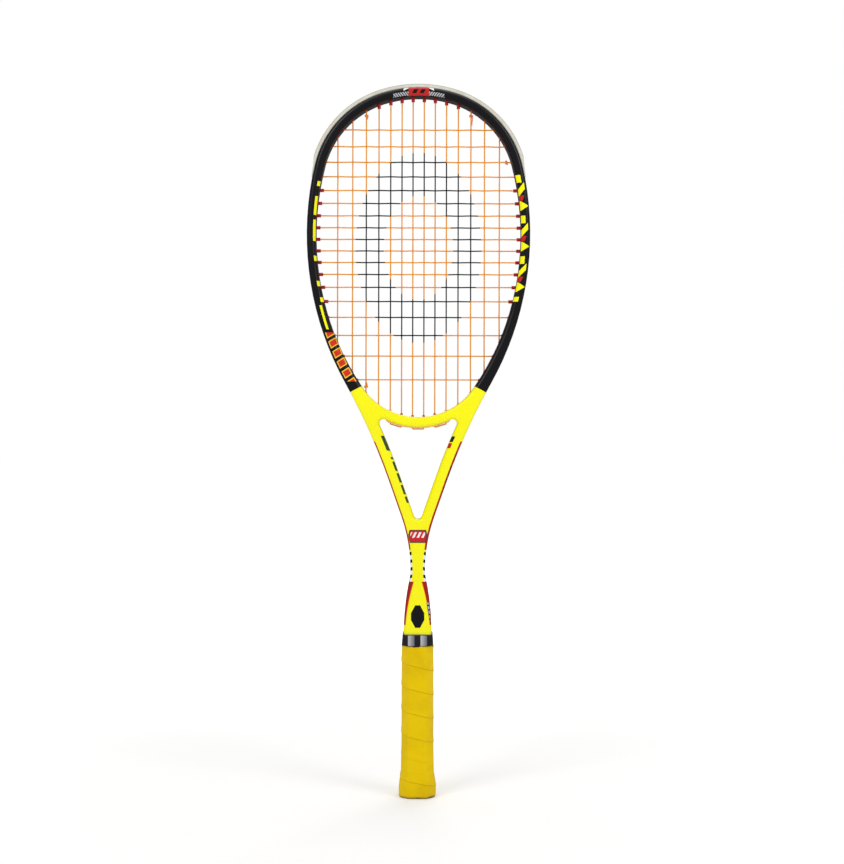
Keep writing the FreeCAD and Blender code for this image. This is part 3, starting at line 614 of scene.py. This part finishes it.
# --------------------------------------------------------------------- handle
# Eight-sided sections, (height, width, depth) in millimetres.
BEVEL, TAPE_BEVEL = 0.5, 0.22
ROUNDING, TAPE_ROUNDING = 20, 36
GRIP = [(0.7, 34.0, 30.4), (1.5, 35.3, 31.6), (3.0, 35.7, 31.5),
        (7.0, 35.8, 31.5), (14.6, 34.6, 30.6), (22.0, 32.0, 28.6),
        (30.0, 30.6, 27.2), (87.0, 30.6, 27.2), (143.9, 30.6, 27.2),
        (145.5, 29.6, 26.4), (150.0, 28.4, 25.2)]
GRIP_HOLLOW = [(0.7, 32.6, 29.0), (150.0, 27.0, 23.6)]
TAPE = [(144.9, 30.9, 27.4), (150.0, 30.0, 26.9), (157.1, 28.9, 26.2)]
# Heights of the wrap's seam on the front, one each turn from above the tape
# down.  The ends run past the grip, and are trimmed to it.
SEAMS = [194.0, 171.6, 148.9, 126.0, 103.0, 80.0,
         57.0, 36.0, 15.0, -6.0, -28.0, -50.0]
# One turn of the strip: (drop from the seam above it, lift) down from its
# upper edge, then (height over the seam below it, lift) down to its lower one.
UPPER = [(0.0, -0.06), (0.3, -0.04), (1.2, 0.0), (4.0, 0.0), (8.0, 0.0), (12.0, 0.0)]
LOWER = [(9.0, 0.0), (6.5, 0.02), (4.6, 0.09), (3.0, 0.20), (1.7, 0.31),
         (0.8, 0.40), (0.3, 0.42), (0.06, 0.36), (0.0, 0.16)]
ROWS = len(UPPER) + len(LOWER)
# The share of the painted seam shade taken by the row just below a strip's upper edge.
SEAM_SHADE_SPREAD = 0.35
FOOT_FADE, HEAD_FADE = 3.0, 2.0
WELD, TINY = 2e-6, 1e-6
RIPPLE, FINE_RIPPLE = 0.10, 0.03
COLUMNS = 160


def limited(a, b):
    """A slope between two runs, flat where they turn."""
    return 0.0 if a * b <= 0 else 2 * a * b / (a + b)


def eased(low, high, start, stop, span, t):
    """A cubic from low to high with the given slopes at its ends."""
    return ((2 * t**3 - 3 * t**2 + 1) * low + (t**3 - 2 * t**2 + t) * span * start
            + (3 * t**2 - 2 * t**3) * high + (t**3 - t**2) * span * stop)


def section(table, z):
    """Width and depth at a height, on a smooth curve through the table."""
    z = min(max(z, table[0][0]), table[-1][0])
    i = max(k for k in range(len(table) - 1) if table[k][0] <= z)
    low, high = table[i], table[i + 1]
    before, after = table[max(i - 1, 0)], table[min(i + 2, len(table) - 1)]
    span = high[0] - low[0]
    t = (z - low[0]) / span
    found = []
    for axis in (1, 2):
        rise = (high[axis] - low[axis]) / span
        start, stop = rise, rise
        if before is not low:
            start = limited((low[axis] - before[axis]) / (low[0] - before[0]), rise)
        if after is not high:
            stop = limited((after[axis] - high[axis]) / (after[0] - high[0]), rise)
        found.append(eased(low[axis], high[axis], start, stop, span, t))
    return found


def reach(width, depth, angle, bevel=BEVEL, rounding=ROUNDING):
    """From the axis out to a rounded octagon, in millimetres."""
    x, y = width / 2, depth / 2
    diagonal = (x + y - bevel * y) / math.sqrt(2)
    flats = ((0, x), (45, diagonal), (90, y), (135, diagonal),
             (180, x), (225, diagonal), (270, y), (315, diagonal))
    total = 0.0
    for turn, far in flats:
        along = math.cos(angle - math.radians(turn))
        if along > 0:
            total += (along / far) ** rounding
    return total ** (-1 / rounding)


def ring_point(table, z, angle, lift=0.0):
    """A point in metres on the section at a height, lifted by millimetres."""
    shape = (BEVEL, ROUNDING)
    if table is TAPE:
        tape_foot, blend = 144.0, 6.0
        up = min(1.0, max(0.0, (z - tape_foot) / blend))
        shape = (BEVEL + (TAPE_BEVEL - BEVEL) * up, TAPE_ROUNDING)
    out = reach(*section(table, z), angle, *shape) + lift
    return (out * math.cos(angle) * MM, out * math.sin(angle) * MM, z * MM)


def seam_height(turn):
    """Where the seam is after so many turns from the first of SEAMS."""
    i = min(int(turn), len(SEAMS) - 2)
    return SEAMS[i] + (SEAMS[i + 1] - SEAMS[i]) * (turn - i)


def close_up(bm, hollow, low, high):
    """Joins a sleeve's two open ends by a wall inside it."""
    for height in (low, high):
        rim = [e for e in bm.edges if e.is_boundary
               and all(abs(v.co.z - height * MM) < TINY for v in e.verts)]
        made = bmesh.ops.extrude_edge_only(bm, edges=rim)["geom"]
        for vert in (g for g in made if isinstance(g, bmesh.types.BMVert)):
            vert.co = ring_point(hollow, height, math.atan2(vert.co.y, vert.co.x))
    rest = [e for e in bm.edges if e.is_boundary]
    bmesh.ops.bridge_loops(bm, edges=rest)


def skin(bm, loops):
    """Faces between each closed ring of vertices and the next."""
    for a, b in zip(loops, loops[1:]):
        for k in range(len(a)):
            beside = (k + 1) % len(a)
            bm.faces.new((a[k], a[beside], b[beside], b[k]))


def piece(name, bm, paint):
    """Makes a smooth object of the mesh, riding on the racket."""
    bmesh.ops.recalc_face_normals(bm, faces=bm.faces)
    mesh = bpy.data.meshes.new(name)
    bm.to_mesh(mesh)
    bm.free()
    for face in mesh.polygons:
        face.use_smooth = True
    mesh.materials.append(paint.material)
    made = bpy.data.objects.new(name, mesh)
    scene.collection.objects.link(made)
    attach(made, "root")
    return made


def ripple(angle, z):
    """Small unevenness of hand-wound tape, in millimetres."""
    spot = Vector((math.cos(angle) * 2.0, math.sin(angle) * 2.0, z * 0.12))
    return RIPPLE * noise.noise(spot) + FINE_RIPPLE * noise.noise(spot * 4.0)


def strip_row(bm, seam_shade, turn, row):
    """One row of the strip, once round the handle from the front."""
    low, high = GRIP[0][0], GRIP[-1][0]
    line = []
    for column in range(COLUMNS):
        part = column / COLUMNS
        angle = 2 * math.pi * part - math.pi / 2
        if row < len(UPPER):
            drop, lift = UPPER[row]
            z = seam_height(turn + part) - drop
        else:
            gap, lift = LOWER[row - len(UPPER)]
            z = seam_height(turn + part + 1) + gap
        inside = min(max(z, low), high)
        fade = min(1.0, (inside - low) / FOOT_FADE, (high - inside) / HEAD_FADE)
        lift = (lift + ripple(angle, inside)) * fade
        vert = bm.verts.new(ring_point(GRIP, inside, angle, lift))
        # The edge rows carry the painted seam shade that the grip's material lays along
        # each overlap.
        if row in (0, ROWS - 1):
            vert[seam_shade] = fade
        elif row == 1:
            vert[seam_shade] = SEAM_SHADE_SPREAD * fade
        line.append(vert)
    return line


def join_rows(bm, grid):
    """Faces along the strip, whose last column meets the next turn's first."""
    last = COLUMNS - 1
    for i in range(len(grid) - 1):
        here, under = grid[i], grid[i + 1]
        for k in range(last):
            bm.faces.new((here[k], here[k + 1], under[k + 1], under[k]))
        if i + 1 + ROWS < len(grid):
            ahead, ahead_under = grid[i + ROWS][0], grid[i + 1 + ROWS][0]
            bm.faces.new((here[last], ahead, ahead_under, under[last]))


def wound_grip():
    """One strip wound downward, each turn's lower edge lying on the next turn."""
    bm = bmesh.new()
    # A vertex layer holding the painted shade along the seams.
    seam_shade = bm.verts.layers.float.new("seam_shade")
    grid = [strip_row(bm, seam_shade, turn, row)
            for turn in range(len(SEAMS) - 2) for row in range(ROWS)]
    join_rows(bm, grid)
    bmesh.ops.remove_doubles(bm, verts=bm.verts, dist=WELD)
    bmesh.ops.dissolve_degenerate(bm, edges=bm.edges, dist=TINY)
    stray = [v for v in bm.verts if not v.link_faces]
    bmesh.ops.delete(bm, geom=stray, context="VERTS")
    close_up(bm, GRIP_HOLLOW, GRIP[0][0], GRIP[-1][0])
    return piece("wound_grip", bm, grip_paint())


TAPE_FOOT, TAPE_HEAD = TAPE[0][0], TAPE[-1][0]
TAPE_MARGIN, TAPE_WAVE = 0.8, 0.12
TAPE_INSIDE = -0.4
LAP_STARTS, LAP_LIFT = 322, 0.14
TEAR_STARTS, TEAR_ENDS = 340, 8
# (share of the band's height, lift) up its outside, with turned-in edges.
TAPE_LEVELS = [(0.0, -0.25), (0.02, 0.0), (0.25, 0.0), (0.5, 0.0),
               (0.75, 0.0), (0.98, 0.0), (1.0, -0.25)]


def tape_outside(part, lift, column):
    """A point on the tape, in metres, with its lap and its uneven lower edge."""
    angle = 2 * math.pi * column / COLUMNS - math.pi / 2
    degrees = math.degrees(angle) + 90
    torn = TAPE_MARGIN if degrees < TEAR_ENDS or degrees > TEAR_STARTS else 0.0
    foot = TAPE_FOOT + TAPE_MARGIN - torn + TAPE_WAVE * math.sin(angle * 7.0)
    z = foot + (TAPE_HEAD - foot) * part
    lap = LAP_LIFT if degrees > LAP_STARTS else 0.0
    return ring_point(TAPE, z, angle, lift + lap + ripple(angle, z) * 0.5)


def tape_inside(part, column):
    """A point on the tape's inner face, in metres."""
    angle = 2 * math.pi * column / COLUMNS - math.pi / 2
    z = TAPE_FOOT + TAPE_MARGIN + (TAPE_HEAD - TAPE_FOOT - TAPE_MARGIN) * part
    return ring_point(TAPE, z, angle, TAPE_INSIDE)


def tape_band():
    """Thin tape round the grip's top end, with a lap and a torn corner in front."""
    bm = bmesh.new()
    loops = []
    for part, lift in TAPE_LEVELS:
        loops.append([bm.verts.new(tape_outside(part, lift, c)) for c in range(COLUMNS)])
    for part in (1.0, 0.0):
        loops.append([bm.verts.new(tape_inside(part, c)) for c in range(COLUMNS)])
    skin(bm, loops + loops[:1])
    return piece("tape_band", bm, tape_paint())


def cap_shell():
    """Moulded butt cap: rounded rim, pocket for the handle, seat for the badge."""
    seat_radius, seat_top, pocket_floor = 9.55, 1.8, 8.0
    outside = [(0.0, 32.4, 28.8), (0.15, 33.1, 29.5), (0.5, 33.8, 30.2),
               (1.1, 34.3, 30.7), (2.0, 34.5, 30.9), (3.0, 34.4, 30.8),
               (3.2, 32.4, 28.8), (7.0, 32.2, 28.6), (14.6, 30.8, 27.2),
               (22.0, 28.4, 25.0), (22.0, 27.0, 23.6), (pocket_floor, 27.0, 23.6)]
    angles = [2 * math.pi * c / COLUMNS for c in range(COLUMNS)]
    rings = [(seat_top, [seat_radius] * COLUMNS), (0.0, [seat_radius] * COLUMNS)]
    for z, width, depth in outside:
        rings.append((z, [reach(width, depth, angle) for angle in angles]))
    bm = bmesh.new()
    loops = []
    for z, outs in rings:
        loops.append([bm.verts.new((out * math.cos(a) * MM, out * math.sin(a) * MM, z * MM))
                      for out, a in zip(outs, angles)])
    skin(bm, loops)
    bm.faces.new(loops[0])
    bm.faces.new(loops[-1])
    return piece("cap_shell", bm, cap_paint())


# ---------------------------------------------------------------------- knots
KNOT_STEPS, TAIL_STEPS = 60, 8
STRING_RADIUS = 0.62
KNOT_SIZE, KNOT_THICK = 0.52, 0.62
TAIL_START = Vector((1.1, -0.9, 0.0))
TAIL_SWAY, TAIL_DRIFT = 0.25, 0.05
# Any direction that no path in this script starts along.
TUBE_UP = Vector((0.31, 0.17, 0.93))


def tube(bm, path, radius, closed, sides=10):
    """A round tube along points given in millimetres."""
    points = [Vector(p) for p in path]
    count = len(points)
    turns = [2 * math.pi * k / sides for k in range(sides)]
    rings = []
    up = TUBE_UP.normalized()
    for i, point in enumerate(points):
        ahead = points[(i + 1) % count] if closed or i < count - 1 else point
        behind = points[i - 1] if closed or i > 0 else point
        along = (ahead - behind).normalized()
        side = up.cross(along).normalized()
        up = along.cross(side).normalized()
        offsets = [radius * (math.cos(a) * side + math.sin(a) * up) for a in turns]
        rings.append([bm.verts.new((point + offset) * MM) for offset in offsets])
    if closed:
        first, last = rings[0], rings[-1]
        shift = min(range(sides), key=lambda k: (first[k].co - last[0].co).length)
        skin(bm, rings + [first[shift:] + first[:shift]])
    else:
        skin(bm, rings)
        bm.faces.new(rings[0])
        bm.faces.new(rings[-1])


def tied_knot(node, sideways, tail):
    """An overhand knot round its string, with a short end beside it."""
    low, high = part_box(node)
    centre = (Vector(low) + Vector(high)) / 2 / MM
    loop = []
    for step in range(KNOT_STEPS):
        t = 2 * math.pi * step / KNOT_STEPS
        ring = KNOT_SIZE * (2.0 + math.cos(3 * t))
        a = ring * math.cos(2 * t)
        b = ring * math.sin(2 * t)
        c = KNOT_THICK * math.sin(3 * t)
        loop.append(centre + (Vector((c, b, a)) if sideways else Vector((a, b, c))))
    bm = bmesh.new()
    tube(bm, loop, STRING_RADIUS, closed=True)
    start = centre + TAIL_START
    end = []
    for k in range(TAIL_STEPS + 1):
        sway = TAIL_SWAY * math.sin(k * 0.7)
        end.append(start + Vector((sway, TAIL_DRIFT * k, -tail * k / TAIL_STEPS)))
    tube(bm, end, STRING_RADIUS * 0.9, closed=False)
    made = piece("tied_" + node, bm, KNOT_PAINT)
    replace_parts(made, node)


KNOT_PAINT = knot_paint()
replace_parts(wound_grip(), "grip_wrap")
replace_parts(tape_band(), "finishing_tape")
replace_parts(cap_shell(), "butt_cap")
tied_knot("knot_top_right", False, 9.0)
tied_knot("knot_top_left", False, 3.5)
tied_knot("knot_bottom_left", False, -4.0)
tied_knot("knot_side_right", True, 2.5)

# --------------------------------------------------------------------- camera
EYE_DISTANCE, EYE_HEIGHT, EYE_SHIFT = 1.3535, 0.3511, 0.0038
ROLL = -0.0022
SENSOR, FOCAL = 36.0, 58.33

camera_data = bpy.data.cameras.new("camera")
camera_data.sensor_width = SENSOR
camera_data.lens = FOCAL
camera = bpy.data.objects.new("camera", camera_data)
camera.location = (EYE_SHIFT, -EYE_DISTANCE, EYE_HEIGHT)
camera.rotation_euler = (math.pi / 2, ROLL, 0)
scene.collection.objects.link(camera)
scene.camera = camera

# ------------------------------------------------------------ floor and light
# The world's strength where it lights the object, is mirrored, and is seen.
AMBIENT, SHINE, BACKDROP = 0.45, 0.16, 1.0
FLOOR_REACH = 14.0
FLOOR_GLOW, FAR_GLOW = 0.17, 0.55
WHITE_LIGHT = (1, 1, 1, 1)
# (name, place, aim, width, height, watts)
LIGHTS = [("key", (-1.3, -1.5, 1.9), (0, 0, 0.3), 0.9, 1.4, 15),
          ("fill", (1.5, -1.2, 1.6), (0, 0, 0.35), 0.8, 1.4, 11),
          ("back", (0.4, 1.7, 1.8), (0, 0, 0.35), 1.6, 1.0, 14),
          ("top", (0, 0, 2.3), (0, 0, 0), 1.6, 1.6, 12)]


def softbox(name, place, aim, width, height, power):
    """A rectangular light at place, turned to aim."""
    data = bpy.data.lights.new(name, "AREA")
    data.shape = "RECTANGLE"
    data.size = width
    data.size_y = height
    data.energy = power
    lamp = bpy.data.objects.new(name, data)
    lamp.location = place
    direction = Vector(aim) - Vector(place)
    lamp.rotation_euler = direction.to_track_quat("-Z", "Y").to_euler()
    scene.collection.objects.link(lamp)


def floor_paint():
    """White paper that runs out into the white background."""
    p = Paint("studio_floor", roughness=0.9)
    p.plain("Specular IOR Level", 0.0)
    p.colour((0.82, 0.82, 0.82))
    away = length(p.x, p.y).ramp(250.0, 1500.0)
    p.plain("Emission Color", WHITE_LIGHT)
    p.feed(p.shader.inputs["Emission Strength"], FLOOR_GLOW + away * FAR_GLOW)
    return p


def studio_floor():
    """The sheet that the racket stands on, left out of reflections."""
    r = FLOOR_REACH
    corners = [(-r, -r, 0), (r, -r, 0), (r, r, 0), (-r, r, 0)]
    mesh = bpy.data.meshes.new("studio_floor")
    mesh.from_pydata(corners, [], [(0, 1, 2, 3)])
    mesh.materials.append(floor_paint().material)
    floor = bpy.data.objects.new("studio_floor", mesh)
    scene.collection.objects.link(floor)
    floor.visible_glossy = False


def studio_world():
    """White where the camera sees it, dimmer where it lights or is mirrored."""
    world = bpy.data.worlds.new("studio")
    world.use_nodes = True
    tree = world.node_tree
    back = tree.nodes["Background"]
    back.inputs["Color"].default_value = WHITE_LIGHT
    seen = tree.nodes.new("ShaderNodeLightPath")
    strength = AMBIENT
    for ray, value in (("Is Glossy Ray", SHINE), ("Is Camera Ray", BACKDROP)):
        choice = tree.nodes.new("ShaderNodeMapRange")
        choice.inputs["To Max"].default_value = value
        tree.links.new(seen.outputs[ray], choice.inputs["Value"])
        if isinstance(strength, float):
            choice.inputs["To Min"].default_value = strength
        else:
            tree.links.new(strength, choice.inputs["To Min"])
        strength = choice.outputs[0]
    tree.links.new(strength, back.inputs["Strength"])
    scene.world = world


studio_floor()
studio_world()
for light in LIGHTS:
    softbox(*light)
scene.view_settings.view_transform = "Standard"
